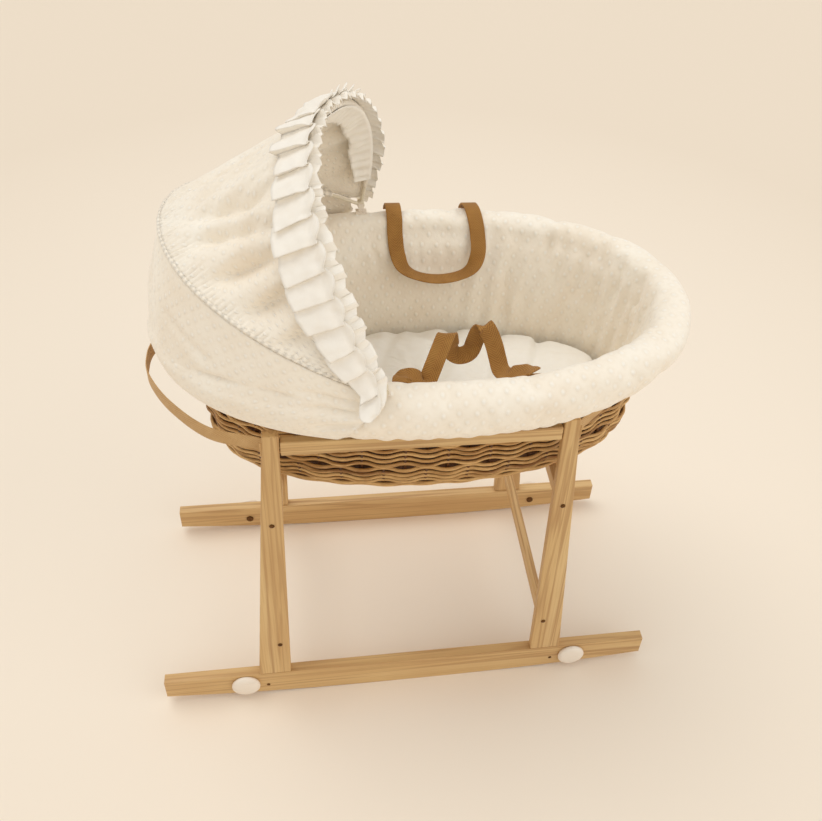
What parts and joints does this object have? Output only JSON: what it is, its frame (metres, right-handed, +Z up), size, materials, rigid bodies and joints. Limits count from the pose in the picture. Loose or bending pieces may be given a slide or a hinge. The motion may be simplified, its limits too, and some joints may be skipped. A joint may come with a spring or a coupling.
{
  "type": "moses basket with stand",
  "caption": "Woven oval baby basket with a padded fabric rim, folding frilled hood, mattress and webbing carrying handles, resting on a wooden rocking stand.",
  "frame": {"origin": "on the floor under the middle of the stand, at the middle of the whole object seen from above", "axes": "+X from the hood (head) end to the foot end, +Y from the front rocker to the back rocker, +Z up"},
  "size_m": [0.884, 0.5168, 1.0571],
  "materials": {
    "pine": "clear satin",
    "wicker": "woven, natural",
    "dimple_cloth": "short dimpled pile",
    "smooth_cloth": "plain cotton",
    "brown_webbing": "woven webbing",
    "tan_webbing": "woven webbing",
    "cream_plastic": "moulded",
    "hoop_plastic": "moulded rod",
    "screw_metal": "bronze plated"
  },
  "bodies": {
    "stand": {"cross_rail_lower_foot": "pine", "cross_rail_lower_head": "pine", "cross_rail_upper_foot": "pine", "cross_rail_upper_head": "pine", "dowel_back_foot": "pine", "dowel_back_head": "pine", "dowel_front_foot": "pine", "dowel_front_head": "pine", "end_strap_foot": "tan_webbing", "end_strap_head": "tan_webbing", "leg_back_foot": "pine", "leg_back_head": "pine", "leg_front_foot": "pine", "leg_front_head": "pine", "leg_screw_back_foot_lower": "screw_metal", "leg_screw_back_foot_upper": "screw_metal", "leg_screw_back_head_lower": "screw_metal", "leg_screw_back_head_upper": "screw_metal", "leg_screw_front_foot_lower": "screw_metal", "leg_screw_front_foot_upper": "screw_metal", "leg_screw_front_head_lower": "screw_metal", "leg_screw_front_head_upper": "screw_metal", "rocker_back": "pine", "rocker_front": "pine", "rocker_screw_back_foot": "screw_metal", "rocker_screw_back_head": "screw_metal", "rocker_screw_front_foot": "screw_metal", "rocker_screw_front_head": "screw_metal", "stopper_pin_back_foot": "screw_metal", "stopper_pin_back_head": "screw_metal", "stopper_pin_front_foot": "screw_metal", "stopper_pin_front_head": "screw_metal", "top_rail_back": "pine", "top_rail_front": "pine"},
    "basket": {"basket_base": "wicker", "basket_liner": "dimple_cloth", "basket_lower_wall": "wicker", "basket_rim_border": "wicker", "basket_stake_band": "wicker", "basket_waist_border": "wicker", "handle_tab_back_foot": "brown_webbing", "handle_tab_back_head": "brown_webbing", "handle_tab_front_foot": "brown_webbing", "handle_tab_front_head": "brown_webbing", "hood_hinge_back": "cream_plastic", "hood_hinge_front": "cream_plastic", "mattress": "smooth_cloth", "rim_cover": "dimple_cloth"},
    "hood_rear": {"hood_rear_hoop": "hoop_plastic", "hood_rear_panel": "dimple_cloth"},
    "hood_front": {"hood_front_hoop": "hoop_plastic", "hood_canopy": "dimple_cloth", "hood_ruffle": "smooth_cloth"},
    "handle_back": {"handle_back": "brown_webbing"},
    "handle_front": {"handle_front": "brown_webbing"},
    "stopper_front_head": {"stopper_front_head": "cream_plastic"},
    "stopper_front_foot": {"stopper_front_foot": "cream_plastic"},
    "stopper_back_head": {"stopper_back_head": "cream_plastic"},
    "stopper_back_foot": {"stopper_back_foot": "cream_plastic"}
  },
  "joints": [
    {"name": "stopper_front_head_turn", "type": "hinge", "parent": "stand", "child": "stopper_front_head", "pos_m": [-0.302, -0.2135, 0.031], "axis": [0, 1, 0], "range_deg": [0, 180]},
    {"name": "stopper_front_foot_turn", "type": "hinge", "parent": "stand", "child": "stopper_front_foot", "pos_m": [0.302, -0.2135, 0.031], "axis": [0, 1, 0], "range_deg": [0, 180]},
    {"name": "stopper_back_head_turn", "type": "hinge", "parent": "stand", "child": "stopper_back_head", "pos_m": [-0.302, 0.2135, 0.031], "axis": [0, 1, 0], "range_deg": [0, 180]},
    {"name": "stopper_back_foot_turn", "type": "hinge", "parent": "stand", "child": "stopper_back_foot", "pos_m": [0.302, 0.2135, 0.031], "axis": [0, 1, 0], "range_deg": [0, 180]},
    {"name": "basket_lift", "type": "slide", "parent": "stand", "child": "basket", "axis": [0, 0, 1], "range_m": [0, 0.25]},
    {"name": "handle_back_lift", "type": "hinge", "parent": "basket", "child": "handle_back", "pos_m": [0.054, 0.23604, 0.75602], "axis": [-0.9999, 0.0154, 0], "range_deg": [0, 120]},
    {"name": "handle_front_lift", "type": "hinge", "parent": "basket", "child": "handle_front", "pos_m": [0.059, -0.191, 0.7363], "axis": [0.9986, 0.0526, 0], "range_deg": [0, 90]},
    {"name": "hood_rear_fold", "type": "hinge", "parent": "basket", "child": "hood_rear", "pos_m": [-0.063, 0, 0.7613], "axis": [0, -1, 0], "range_deg": [0, 13.5], "deforming": ["hood_rear_panel"]},
    {"name": "hood_fold", "type": "hinge", "parent": "hood_rear", "child": "hood_front", "pos_m": [-0.063, 0, 0.7613], "axis": [0, -1, 0], "range_deg": [0, 27], "deforming": ["hood_canopy", "hood_ruffle"]}
  ],
  "couplings": [
    {"joint": "hood_rear_fold", "follows": "hood_fold", "ratio": 0.5}
  ]
}
